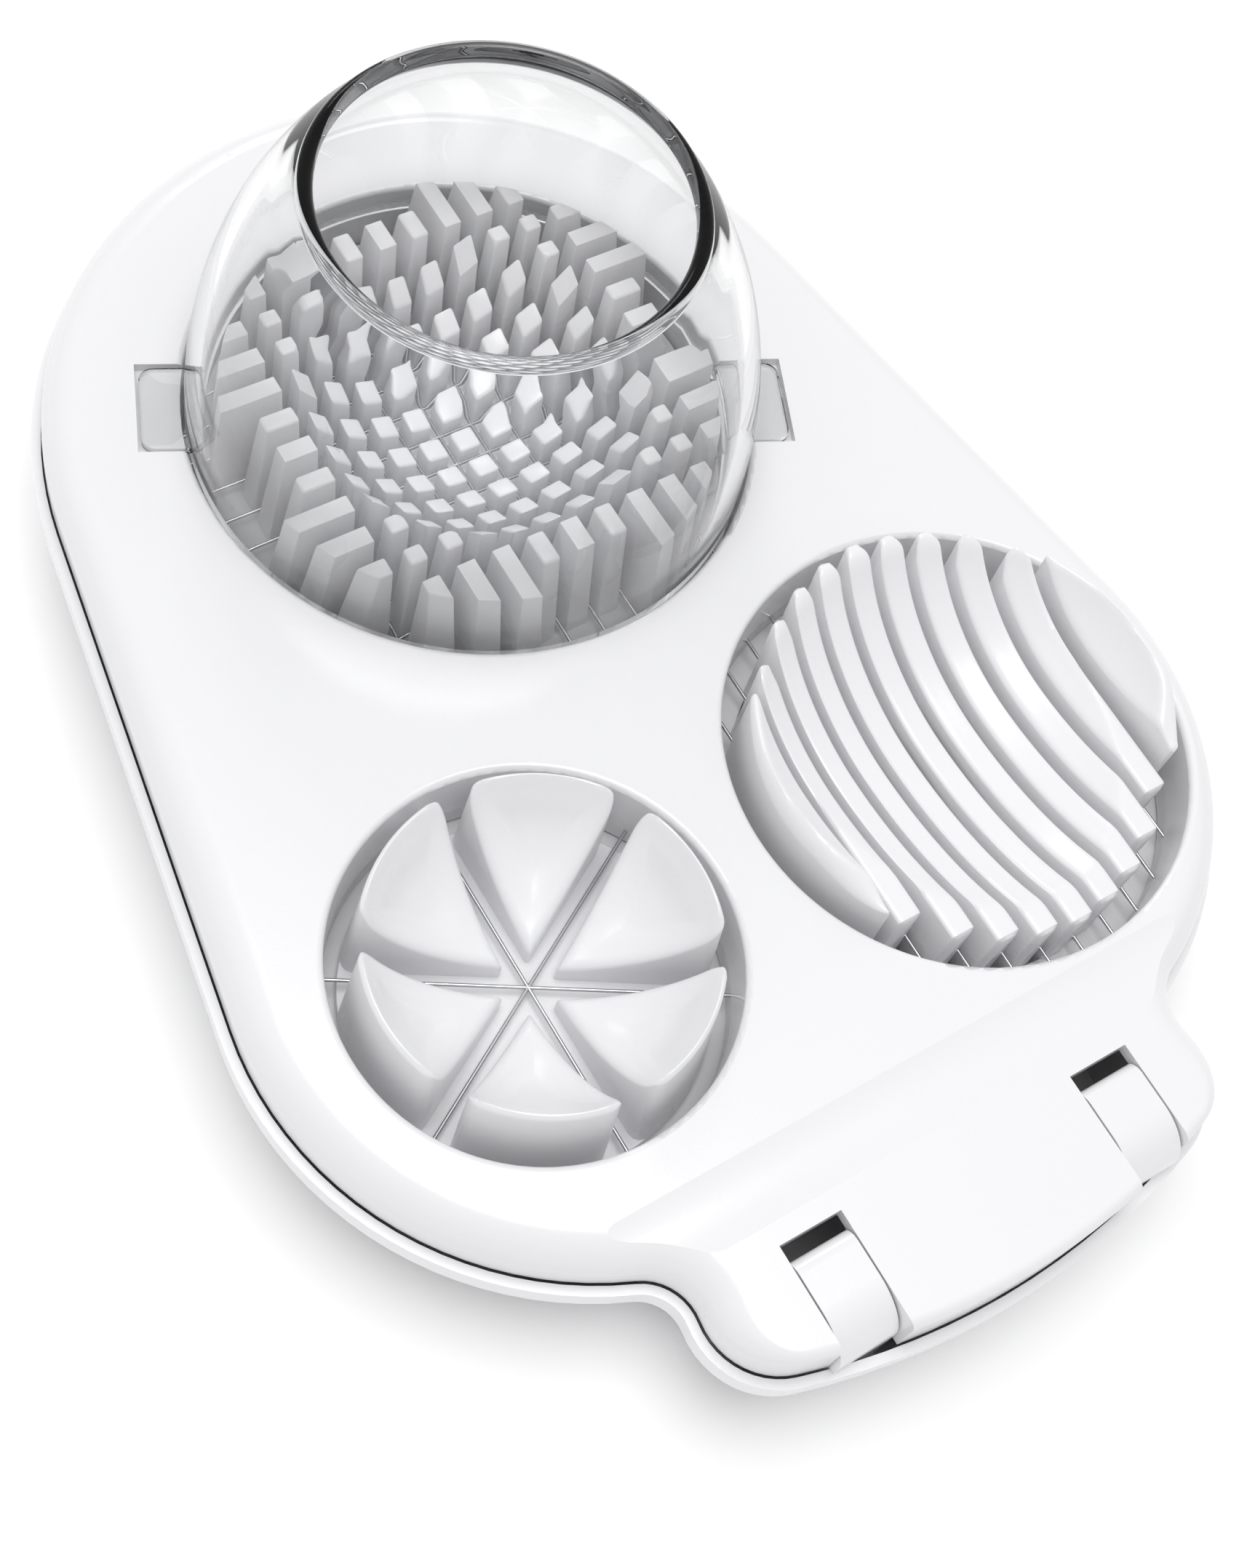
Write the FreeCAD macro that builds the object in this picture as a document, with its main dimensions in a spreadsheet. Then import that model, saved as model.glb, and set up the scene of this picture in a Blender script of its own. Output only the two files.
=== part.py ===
"""Egg slicer with three cutting modes: dicing, slicing and wedging.

A tray holds three cradles. A frame with a wire set over each cradle is hinged
to the tray, and a clear guard stands in the frame's largest opening.

Axes: +X along the hinge, +Y from the hinge to the free end, +Z up.
Origin: on the table, under the middle of the object's bounding box.
"""
import FreeCAD, Part
import math
import os
import re
import Sketcher
from FreeCAD import Placement, Rotation, Vector

# ---------------------------------------------------------------- dimensions
# alias, value in mm (or degrees), meaning
DIMENSIONS = [
    # outline of the frame, seen from above
    ("far_y", 38.5, "centre of the round far end, and of the dicer"),
    ("far_radius", 56.0, "radius of the round far end"),
    ("side_x", 22.3, "centre of the side arcs"),
    ("side_y", -30.5, "centre of the side arcs"),
    ("side_radius", 45.0, "radius of the side arcs"),
    ("waist_radius", 7.0, "hollow arcs between the sides and the hinge part"),
    ("corner_x", 26.5, "centre of the hinge part's corners"),
    ("corner_y", -81.0, "centre of the hinge part's corners"),
    ("corner_radius", 9.5, "radius of the hinge part's corners"),
    ("front_radius", 99.0, "long front arc of the hinge part"),
    # openings of the frame
    ("dicer_radius", 38.2, "dicer opening"),
    ("slicer_x", 31.5, "slicer centre"),
    ("slicer_y", -33.7, "slicer centre"),
    ("slicer_radius", 31.2, "slicer opening"),
    ("wedger_x", -32.4, "wedger centre"),
    ("wedger_y", -34.5, "wedger centre"),
    ("wedger_radius", 25.2, "wedger opening"),
    # levels above the table
    ("foot_height", 2.0, "underside of the tray"),
    ("floor_thick", 2.5, "floor of the tray"),
    ("rim_top", 19.6, "top of the tray's rim"),
    ("frame_top", 28.0, "top of the frame"),
    ("skirt_depth", 8.0, "depth of the frame's skirt"),
    ("collar_depth", 9.0, "depth of the collars round the openings"),
    ("wire_level", 18.5, "axis of every wire with the frame closed"),
    ("shelf_top", 15.5, "shelf of a cradle, just under the wire rings"),
    ("slot_floor", 17.0, "bottom of the wire gaps"),
    # walls
    ("plate_thick", 2.0, "top plate of the frame"),
    ("wall", 1.6, "collars of the frame"),
    ("skirt_wall", 3.2, "skirt of the frame"),
    ("edge_round", 5.0, "rounding of the frame's top edge"),
    ("front_round", 1.3, "rounding of the top edge at the hinge"),
    ("mouth_round", 0.8, "rounding round the openings"),
    ("rim_grow", 1.5, "how far the rim stands out past the frame"),
    ("rim_gap", 0.25, "gap between the frame's outline and the rim"),
    ("overcut", 1.0, "how far a cutting shape stands out past what it cuts"),
    ("rim_band", 3.4, "upright band of the tray's rim"),
    ("tray_step", 1.0, "depth of the upright inside of the rim under its band"),
    ("tray_lean", 22.0, "lean of the tray's wall under the rim, in degrees"),
    ("shell", 2.0, "walls and shelves of the cradles"),
    ("shelf_overlap", 1.3, "how far a shelf ring reaches in under its block"),
    ("ring_thick", 3.0, "wire ring, along Z"),
    ("ring_width", 3.0, "slicer and wedger wire rings, radially"),
    ("dicer_ring_width", 4.0, "dicer wire ring, radially"),
    ("wire_hold", 0.7, "share of a ring's width that its wires reach into"),
    ("shelf_share", 0.8, "share of a ring's width that the shelf reaches under it"),
    # wires
    ("pitch", 5.0, "spacing of the dicer and slicer wires"),
    ("wire_diameter", 0.5, "stainless wire"),
    ("gap", 1.5, "wire gap between fingers or ribs"),
    ("groove", 3.6, "wire groove between petals"),
    # hinge
    ("hinge_y", -86.5, "hinge axis"),
    ("hinge_z", 24.0, "hinge axis"),
    ("knuckle_x", 21.4, "middle of a knuckle"),
    ("knuckle_width", 8.2, "width of a knuckle"),
    ("knuckle_far_y", -79.5, "knuckle's face towards the free end"),
    ("knuckle_back", 1.4, "how much nearer the knuckle's outer face is to the pin"),
    ("knuckle_round", 2.0, "rounding of a knuckle's inner top edge"),
    ("knuckle_nose", 6.0, "rounding of a knuckle's outer top edge"),
    ("notch_width", 8.7, "notch in the frame round a knuckle"),
    ("notch_far_y", -77.5, "end of the notch"),
    ("cheek", 2.4, "cheek beside a notch, which holds a pin end"),
    ("cheek_reach", 2.6, "half length of a cheek along Y"),
    ("pin_diameter", 3.0, "hinge pin"),
    ("pin_clearance", 0.05, "radial clearance of a pin in its knuckle"),
    ("valley_y", -70.5, "shallow valley across the frame"),
    ("valley_radius", 14.0, "radius of the valley"),
    ("valley_depth", 0.7, "depth of the valley"),
    # cradles
    ("skirt_inset", 6.3, "ledge of the tray's floor inside the slicer cradle"),
    ("finger_radius", 34.2, "dicer cradle's fingers, at the shelf"),
    ("finger_top_radius", 32.8, "dicer cradle's fingers, at their tops"),
    ("finger_top", 33.5, "tallest dicer fingers"),
    ("short_reach", 29.4, "outer end of the short fingers in the middle of each side, at mid height"),
    ("dicer_shelf", 38.4, "outer radius of the dicer cradle's shelf, just under its wire ring"),
    ("dicer_dish", 27.5, "radius of the dicer's dish"),
    ("dicer_dish_low", 20.0, "lowest point of the dicer's dish"),
    ("rib_radius", 28.8, "slicer cradle's ribs"),
    ("rib_top", 34.0, "tallest rib ends"),
    ("rib_near_top", 27.6, "rib ends next to the hinge"),
    ("slicer_dish_low", 20.8, "lowest point of the slicer's dish"),
    ("slicer_dish_x", 30.8, "half width of the slicer's dish"),
    ("slicer_dish_far", 27.2, "reach of the slicer's dish towards the free end"),
    ("slicer_dish_near", 37.0, "reach of the slicer's dish towards the hinge"),
    ("slicer_dish_z", 24.0, "half height of the slicer's dish"),
    ("slicer_dish_shift", 2.2, "how far the slicer's dish is off centre towards the free end"),
    ("petal_radius", 23.2, "wedger cradle's petals"),
    ("petal_top", 34.5, "petal rims"),
    ("wedger_dish", 23.0, "radius of the wedger's dish"),
    ("wedger_dish_low", 20.2, "lowest point of the wedger's dish"),
    # clear guard
    ("guard_radius", 37.7, "guard, outside, at the frame"),
    ("guard_dome", 53.0, "half height of the whole dome"),
    ("guard_wall", 2.0, "wall of the guard"),
    ("guard_low", 25.6, "lower edge of the guard"),
    ("guard_top", 69.0, "upper edge of the guard"),
    ("lip", 1.1, "radius of the guard's rounded lip"),
    ("tab_angle", 156.5, "direction of a guard tab, from +X"),
    ("tab_reach", 43.4, "outer end of a guard tab"),
    ("tab_width", 13.0, "width of a guard tab"),
    ("tab_thick", 1.3, "thickness of a guard tab"),
    ("tab_gap", 0.4, "room round a guard tab in its recess"),
    ("tab_play", 0.05, "room under a guard tab"),
    ("recess_depth", 1.4, "recess for a guard tab"),
    # fixings
    ("screw_diameter", 2.6, "screw shank"),
    ("screw_length", 8.0, "screw shank"),
    ("head_diameter", 5.0, "screw head"),
    ("head_height", 1.3, "screw head"),
    ("boss_radius", 3.0, "screw boss under a cradle"),
    ("dicer_screw_inset", 3.6, "dicer cradle's screws, inside its fingers"),
    ("slicer_screw_inset", 3.4, "slicer cradle's screws, inside its ribs"),
    ("wedger_screw_inset", 5.0, "wedger cradle's screws, inside its petals"),
    ("foot_diameter", 11.0, "rubber foot"),
    ("foot_back", 4.5, "feet at the hinge, behind the corners' centres"),
    ("foot_share", 0.6, "feet at the far end, as a share of its radius"),
]

SLICER_WIRES = 10
DICER_WIRES = 10
SHORT_ROWS = 3
WEDGER_ANGLES = (90, 30, -30)

doc = FreeCAD.newDocument("egg_slicer")
sheet = doc.addObject("Spreadsheet::Sheet", "dims")
for row, (alias, value, meaning) in enumerate(DIMENSIONS, start=1):
    sheet.set(f"A{row}", str(value))
    sheet.setAlias(f"A{row}", alias)
    sheet.set(f"B{row}", meaning)
doc.recompute()

ALIASES = {alias for alias, _, _ in DIMENSIONS}
sub_parts = []


# ------------------------------------------------------------------- helpers
def dim(alias):
    """Value of one cell of the sheet."""
    return float(sheet.get(alias))


def formula(text):
    """Turn a formula on aliases into one on the sheet's cells."""
    return re.sub(r"[A-Za-z_]\w*", lambda m: "dims." + m[0] if m[0] in ALIASES else m[0], str(text))


def bind(item, **formulas):
    """Bind properties to the sheet; a double underscore stands for a dot."""
    for prop, text in formulas.items():
        item.setExpression(prop.replace("__", "."), formula(text))
    return item


def move(item, at):
    """Bind an object's place to three formulas."""
    x, y, z = at
    return bind(item, Placement__Base__x=x, Placement__Base__y=y, Placement__Base__z=z)


def cylinder(name, radius, height, at, turn=None):
    """Upright cylinder on the point at, or a turned one."""
    item = doc.addObject("Part::Cylinder", name)
    if turn:
        item.Placement = Placement(Vector(), turn)
    return move(bind(item, Radius=radius, Height=height), at)


def box(name, size, at):
    """Box whose lowest corner is at the point at."""
    item = doc.addObject("Part::Box", name)
    return move(bind(item, Length=size[0], Width=size[1], Height=size[2]), at)


def join(name, items):
    item = doc.addObject("Part::MultiFuse", name)
    item.Shapes = items
    return item


def gather(name, items):
    """Group of separate solids in one object."""
    item = doc.addObject("Part::Compound", name)
    item.Links = items
    return item


def cut(name, base, tool):
    item = doc.addObject("Part::Cut", name)
    item.Base, item.Tool = base, tool
    return item


def overlap(name, items):
    item = doc.addObject("Part::MultiCommon", name)
    item.Shapes = items
    return item


def finish(item, label):
    """Name a finished sub-part and put it on the list to export."""
    item.Label = label
    sub_parts.append(item)
    return item


def plane(body, role):
    return next(f for f in body.Origin.OriginFeatures if f.Role == role)


def new_body(name):
    return doc.addObject("PartDesign::Body", name)


def new_sketch(body, name, height="0", role="XY_Plane"):
    """Sketch on one of the body's own planes, lifted by a formula."""
    sketch = body.newObject("Sketcher::SketchObject", name)
    sketch.AttachmentSupport = (plane(body, role), "")
    sketch.MapMode = "FlatFace"
    return bind(sketch, AttachmentOffset__Base__z=height)


def drive(sketch, constraint, name, text):
    """Add a named constraint and bind it to the sheet."""
    index = sketch.addConstraint(constraint)
    sketch.renameConstraint(index, name)
    sketch.setExpression(f"Constraints.{name}", formula(text))


def circle_in(sketch, name, x, y, radius):
    """Fully constrained circle; x, y and radius are formulas."""
    circle = Part.Circle(Vector(1, 1, 0), Vector(0, 0, 1), 5)
    number = sketch.addGeometry(circle)
    drive(sketch, Sketcher.Constraint("DistanceX", -1, 1, number, 3, 1), name + "_x", x)
    drive(sketch, Sketcher.Constraint("DistanceY", -1, 1, number, 3, 1), name + "_y", y)
    drive(sketch, Sketcher.Constraint("Radius", number, 5), name + "_radius", radius)


def pad(body, name, sketch, length, down=False):
    item = body.newObject("PartDesign::Pad", name)
    item.Profile = sketch
    item.Reversed = down
    return bind(item, Length=length)


# ------------------------------------------------------------------- outline
def waist_centre():
    """Centre of the right waist arc, which touches the side and corner arcs."""
    side = Vector(dim("side_x"), dim("side_y"), 0)
    corner = Vector(dim("corner_x"), dim("corner_y"), 0)
    to_side = dim("side_radius") + dim("waist_radius")
    to_corner = dim("corner_radius") + dim("waist_radius")
    line = corner - side
    along = (to_side**2 - to_corner**2 + line.Length**2) / (2 * line.Length)
    across = math.sqrt(to_side**2 - along**2)
    line.normalize()
    return side + line * along + Vector(-line.y, line.x, 0) * across


def bearing(start, end):
    """Angle of the way from one point to another."""
    return math.atan2(end.y - start.y, end.x - start.x)


def outline(sketch, grow):
    """Closed tangent outline of the frame; grow is "0", an alias or a minus and an alias.

    Every arc keeps its centre when the outline grows, so only radii change.
    """
    extra = -dim(grow[1:]) if grow.startswith("-") else dim(grow) if grow in ALIASES else 0.0
    far = Vector(0, dim("far_y"), 0)
    side = Vector(dim("side_x"), dim("side_y"), 0)
    corner = Vector(dim("corner_x"), dim("corner_y"), 0)
    waist = waist_centre()
    reach = dim("front_radius") - dim("corner_radius")
    front = Vector(0, corner.y + math.sqrt(reach**2 - corner.x**2), 0)
    link = side - far
    lean = math.asin((dim("far_radius") - dim("side_radius")) / link.Length)
    straight = bearing(far, side) + math.pi / 2 - lean
    turns = {
        "far": (far, "far_radius", straight, math.pi - straight),
        "side": (side, "side_radius", bearing(side, waist), straight),
        "corner": (corner, "corner_radius", bearing(front, corner), bearing(corner, waist)),
        "front": (front, "front_radius", -math.pi - bearing(front, corner), bearing(front, corner)),
    }
    arcs = {}

    def add_arc(key, centre, radius, start, end):
        circle = Part.Circle(centre, Vector(0, 0, 1), radius)
        arcs[key] = sketch.addGeometry(Part.ArcOfCircle(circle, start, end))

    def mirrored(point):
        return Vector(-point.x, point.y, 0)

    for key, (centre, alias, start, end) in turns.items():
        add_arc(key, centre, dim(alias) + extra, start, end)
        if key in ("side", "corner"):
            add_arc(key + "_left", mirrored(centre), dim(alias) + extra, math.pi - end, math.pi - start)
    hollow = dim("waist_radius") - extra
    to_corner, to_side = bearing(waist, corner) % (2 * math.pi), bearing(waist, side)
    add_arc("waist", waist, hollow, to_side, to_corner)
    add_arc("waist_left", mirrored(waist), hollow, math.pi - to_corner, math.pi - to_side)

    across = Vector(math.cos(straight), math.sin(straight), 0)
    ends = side + across * (dim("side_radius") + extra), far + across * (dim("far_radius") + extra)
    arcs["edge"] = sketch.addGeometry(Part.LineSegment(*ends))
    arcs["edge_left"] = sketch.addGeometry(Part.LineSegment(mirrored(ends[0]), mirrored(ends[1])))

    # an arc runs anticlockwise from its point 1 to its point 2
    joints = [
        ("far", 1, "edge", 2), ("edge", 1, "side", 2), ("side", 1, "waist", 1),
        ("waist", 2, "corner", 2), ("corner", 1, "front", 2),
        ("far", 2, "edge_left", 2), ("edge_left", 1, "side_left", 1), ("side_left", 2, "waist_left", 2),
        ("waist_left", 1, "corner_left", 1), ("corner_left", 2, "front", 1),
    ]
    for first, first_end, second, second_end in joints:
        sketch.addConstraint(Sketcher.Constraint("Tangent", arcs[first], first_end, arcs[second], second_end))

    def drive_radius(key, text):
        value = sketch.Geometry[arcs[key]].Radius
        drive(sketch, Sketcher.Constraint("Radius", arcs[key], value), key + "_radius", text)

    def drive_centre(key, x, y):
        centre = sketch.Geometry[arcs[key]].Center
        if x:
            drive(sketch, Sketcher.Constraint("DistanceX", -1, 1, arcs[key], 3, centre.x), key + "_x", x)
        drive(sketch, Sketcher.Constraint("DistanceY", -1, 1, arcs[key], 3, centre.y), key + "_y", y)

    sketch.addConstraint(Sketcher.Constraint("PointOnObject", arcs["far"], 3, -2))
    drive_centre("far", None, "far_y")
    drive_radius("far", f"far_radius + {grow}")
    drive_radius("front", f"front_radius + {grow}")
    for key, sign in (("", ""), ("_left", "-")):
        drive_centre("side" + key, sign + "side_x", "side_y")
        drive_radius("side" + key, f"side_radius + {grow}")
        drive_centre("corner" + key, sign + "corner_x", "corner_y")
        drive_radius("corner" + key, f"corner_radius + {grow}")
        drive_radius("waist" + key, f"waist_radius - ({grow})")


# ---------------------------------------------------------------- wire layout
def dicer_offsets():
    """Distances of the dicer's wires from its centre, in pitches."""
    return [number - (DICER_WIRES - 1) / 2 for number in range(DICER_WIRES)]


def chord(radius, offset):
    """Length of a chord of a circle at an offset from its centre, as a formula."""
    return f"2 * sqrt(({radius})^2 - ({offset})^2)"


def wire(name, length, middle, angle):
    """Level wire with its middle at (x, y), at an angle from +X; length is a formula."""
    turn = Rotation(Vector(0, 0, 1), angle).multiply(Rotation(Vector(0, 1, 0), 90))
    item = doc.addObject("Part::Cylinder", name)
    item.Placement = Placement(Vector(), turn)
    bind(item, Radius="wire_diameter / 2", Height=length)
    x, y = middle
    back_x = f"{math.cos(math.radians(angle))} * ({length}) / 2"
    back_y = f"{math.sin(math.radians(angle))} * ({length}) / 2"
    return move(item, (f"{x} - {back_x}", f"{y} - {back_y}", "wire_level"))


def dicer_wires():
    """Wires along the part and wires across it, one group each."""
    half = "dicer_radius + dicer_ring_width * wire_hold"
    lengthwise, crosswise = [], []
    for number, step in enumerate(dicer_offsets(), start=1):
        offset = f"{step} * pitch"
        length = chord(half, offset)
        lengthwise.append(wire(f"lengthwise_{number}", length, (offset, "far_y"), 90))
        crosswise.append(wire(f"crosswise_{number}", length, ("0", f"far_y + {offset}"), 0))
    finish(gather("lengthwise_group", lengthwise), "dicer_wires_lengthwise")
    finish(gather("crosswise_group", crosswise), "dicer_wires_crosswise")
    return lengthwise + crosswise


def slicer_wires():
    """Ten parallel wires, each a sub-part."""
    half = "slicer_radius + ring_width * wire_hold"
    wires = []
    for number in range(1, SLICER_WIRES + 1):
        offset = f"{number - (SLICER_WIRES + 1) / 2} * pitch"
        item = wire(f"slicer_strand_{number}", chord(half, offset), (f"slicer_x + {offset}", "slicer_y"), 90)
        wires.append(finish(item, f"slicer_wire_{number:02d}"))
    return wires


def wedger_wires():
    """Three wires that cross at the middle, each a sub-part."""
    wires = []
    for number, angle in enumerate(WEDGER_ANGLES, start=1):
        length = "2 * (wedger_radius + ring_width * wire_hold)"
        item = wire(f"wedger_strand_{number}", length, ("wedger_x", "wedger_y"), angle)
        wires.append(finish(item, f"wedger_wire_{number}"))
    return wires


def wire_ring(label, middle, radius, width, wires):
    """Ring under a collar, with a hole for each wire end."""
    x, y = middle
    low = "frame_top - collar_depth - ring_thick"
    outside = cylinder(label + "_outside", f"{radius} + {width}", "ring_thick", (x, y, low))
    inside = cylinder(label + "_inside", radius, "ring_thick", (x, y, low))
    blank = cut(label + "_blank", outside, inside)
    holes = gather(label + "_holes", wires)
    finish(cut(label + "_ring", blank, holes), label)


# ------------------------------------------------------------------ top frame
def edges_at(shape, height):
    """Names of the edges that lie wholly at one height."""
    names = []
    for number, edge in enumerate(shape.Edges, start=1):
        if all(abs(v.Z - height) < 1e-6 for v in edge.Vertexes) and abs(edge.CenterOfMass.z - height) < 1e-6:
            names.append(f"Edge{number}")
    return names


OPENINGS = {
    "dicer": ("0", "far_y", "dicer_radius"),
    "slicer": ("slicer_x", "slicer_y", "slicer_radius"),
    "wedger": ("wedger_x", "wedger_y", "wedger_radius"),
}


def rounded_outline(name, blank):
    """Round the blank's top edge, less at the hinge than elsewhere."""
    def radius_at(vertex):
        return dim("front_round") if vertex.Y < dim("corner_y") else dim("edge_round")

    edges = []
    for number in edges_at(blank.Shape, dim("frame_top")):
        edge = blank.Shape.getElement(number)
        first, last = edge.firstVertex(), edge.lastVertex()
        edges.append((int(number[4:]), radius_at(first), radius_at(last)))
    item = doc.addObject("Part::Fillet", name)
    item.Base, item.Edges = blank, edges
    return item


def rounded_mouths(name, plate):
    """Round the top edges of the three openings."""
    radii = [dim(radius) for _, _, radius in OPENINGS.values()]
    edges = []
    for number in edges_at(plate.Shape, dim("frame_top")):
        curve = plate.Shape.getElement(number).Curve
        if isinstance(curve, Part.Circle) and any(abs(curve.Radius - radius) < 1e-6 for radius in radii):
            edges.append((int(number[4:]), dim("mouth_round"), dim("mouth_round")))
    item = doc.addObject("Part::Fillet", name)
    item.Base, item.Edges = plate, edges
    return item


def prism(name, draw, low, height):
    """Upright body on a sketch that draw fills in."""
    body = new_body(name)
    sketch = new_sketch(body, name + "_plan", low)
    draw(sketch)
    pad(body, name + "_pad", sketch, height)
    return body


def top_frame():
    """Hinged frame: plate, skirt, collars, hinge notches and guard recesses."""
    low = "frame_top - skirt_depth"

    def mouths(grow):
        def draw(sketch):
            for name, (x, y, radius) in OPENINGS.items():
                circle_in(sketch, name, x, y, f"{radius} + {grow}")
        return draw

    blank = prism("frame_blank", lambda sketch: outline(sketch, "0"), low, "skirt_depth")
    hollow = prism("frame_hollow", lambda sketch: outline(sketch, "-skirt_wall"), low, "skirt_depth - plate_thick")
    collars = prism("collars", mouths("wall"), "frame_top - collar_depth", "collar_depth - plate_thick / 2")
    holes = prism("openings", mouths("0"), "frame_top - 2 * collar_depth", "4 * collar_depth")
    doc.recompute()
    shell = cut("frame_shell", rounded_outline("frame_rounded", blank), hollow)
    pierced = cut("frame_pierced", join("frame_and_collars", [shell, collars]), holes)
    doc.recompute()
    smooth = rounded_mouths("frame_smooth", pierced)
    valley = cylinder(
        "valley", "valley_radius", "4 * far_radius",
        ("-2 * far_radius", "valley_y", "frame_top - valley_depth + valley_radius"),
        Rotation(Vector(0, 1, 0), 90),
    )

    parts = [smooth]
    for side, sign in (("right", 1), ("left", -1)):
        for edge, inner in (("outer", 1), ("inner", -1)):
            low_x = f"{sign} * knuckle_x + {inner * sign} * (notch_width / 2 + cheek / 2) - cheek / 2"
            cheek = box(
                f"cheek_{side}_{edge}",
                ("cheek", "2 * cheek_reach", "skirt_depth - plate_thick / 2"),
                (low_x, "hinge_y - cheek_reach", low),
            )
            parts.append(cheek)
    whole = join("frame_with_cheeks", parts)

    tools = [valley]
    for side, sign in (("right", 1), ("left", -1)):
        low_x = f"{sign} * knuckle_x - notch_width / 2"
        size = ("notch_width", "notch_far_y + far_radius + side_radius", "2 * skirt_depth")
        low_corner = (low_x, "-far_radius - side_radius", "frame_top - skirt_depth * 1.5")
        tools.append(box(f"notch_{side}", size, low_corner))
    bore = cylinder(
        "pin_bores", "pin_diameter / 2", "2 * knuckle_x + 2 * notch_width",
        ("-knuckle_x - notch_width", "hinge_y", "hinge_z"), Rotation(Vector(0, 1, 0), 90),
    )
    tools.append(bore)
    tools += [guard_tab(f"recess_{number}", angle, "tab_gap", "frame_top - recess_depth", "2 * recess_depth")
              for number, angle in enumerate(("tab_angle", "tab_angle - 180"), start=1)]
    return finish(cut("frame_cut", whole, join("frame_tools", tools)), "top_frame")


# ---------------------------------------------------------------------- guard
def guard_tab(name, angle, room, low, height):
    """Block that reaches out from the guard's wall, or with room round it its recess."""
    item = doc.addObject("Part::Box", name)
    bind(
        item,
        Length=f"tab_reach - guard_radius + guard_wall + {room}",
        Width=f"tab_width + 2 * ({room})",
        Height=height,
    )
    start, aside = "(guard_radius - guard_wall)", f"(tab_width / 2 + {room})"
    move(item, (
        f"{start} * cos({angle}) + {aside} * sin({angle})",
        f"far_y + {start} * sin({angle}) - {aside} * cos({angle})",
        low,
    ))
    item.setExpression("Placement.Rotation.Angle", formula(angle))
    return item


def clear_guard():
    """Clear dome with an open top, a rounded lip and two tabs."""
    def dome(name, shrink):
        item = doc.addObject("Part::Ellipsoid", name)
        bind(item, Radius1=f"guard_dome - {shrink}", Radius2=f"guard_radius - {shrink}")
        item.Angle1, item.Angle2, item.Angle3 = -90, 90, 360
        return move(item, ("0", "far_y", "frame_top"))

    tabs = [guard_tab(f"guard_tab_{number}", angle, "0", "frame_top - recess_depth + tab_play", "tab_thick")
            for number, angle in enumerate(("tab_angle", "tab_angle - 180"), start=1)]
    outside = join("guard_outside", [dome("dome_outside", "0")] + tabs)
    shell = cut("guard_shell", outside, dome("dome_inside", "guard_wall"))
    band = cylinder("guard_band", "2 * guard_radius", "guard_top - lip - guard_low", ("0", "far_y", "guard_low"))
    cup = overlap("guard_cup", [shell, band])
    lip = doc.addObject("Part::Torus", "guard_lip")
    rise = "(guard_top - lip - frame_top)"
    ring = f"guard_radius * sqrt(1 - ({rise} / guard_dome)^2) - guard_wall / 2"
    bind(lip, Radius1=ring, Radius2="lip")
    move(lip, ("0", "far_y", "guard_top - lip"))
    return finish(join("guard", [cup, lip]), "clear_guard")


# ----------------------------------------------------------------------- tray
FLOOR_TOP = "foot_height + floor_thick"


def knuckle(name, x, low, top):
    """Hinge knuckle between two levels; x, low and top are formulas."""
    near, long = "hinge_y * 2 - knuckle_far_y + knuckle_back", "2 * (knuckle_far_y - hinge_y) - knuckle_back"
    return box(name, ("knuckle_width", long, f"{top} - ({low})"), (f"{x} - knuckle_width / 2", near, low))


def rounded_knuckle(name, block):
    """Round a knuckle's two top edges, more on the outer side."""
    edges = []
    for number in edges_at(block.Shape, dim("frame_top")):
        edge = block.Shape.getElement(number)
        if abs(edge.CenterOfMass.y - dim("knuckle_far_y")) < 1e-6:
            edges.append((int(number[4:]), dim("knuckle_round"), dim("knuckle_round")))
        elif edge.CenterOfMass.y < dim("hinge_y") - dim("pin_diameter"):
            edges.append((int(number[4:]), dim("knuckle_nose"), dim("knuckle_nose")))
    item = doc.addObject("Part::Fillet", name)
    item.Base, item.Edges = block, edges
    return item


def leaning_tray(name, grow, low, high, band):
    """Tray-shaped body: an upright band on top, and under it a wall that leans inwards."""
    body = new_body(name)
    plan = new_sketch(body, name + "_plan", f"{high} - ({band})")
    outline(plan, grow)
    pad(body, name + "_band", plan, band)
    under = pad(body, name + "_under", plan, f"{high} - ({band}) - ({low})", down=True)
    bind(under, TaperAngle="-tray_lean")
    return body


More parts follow.
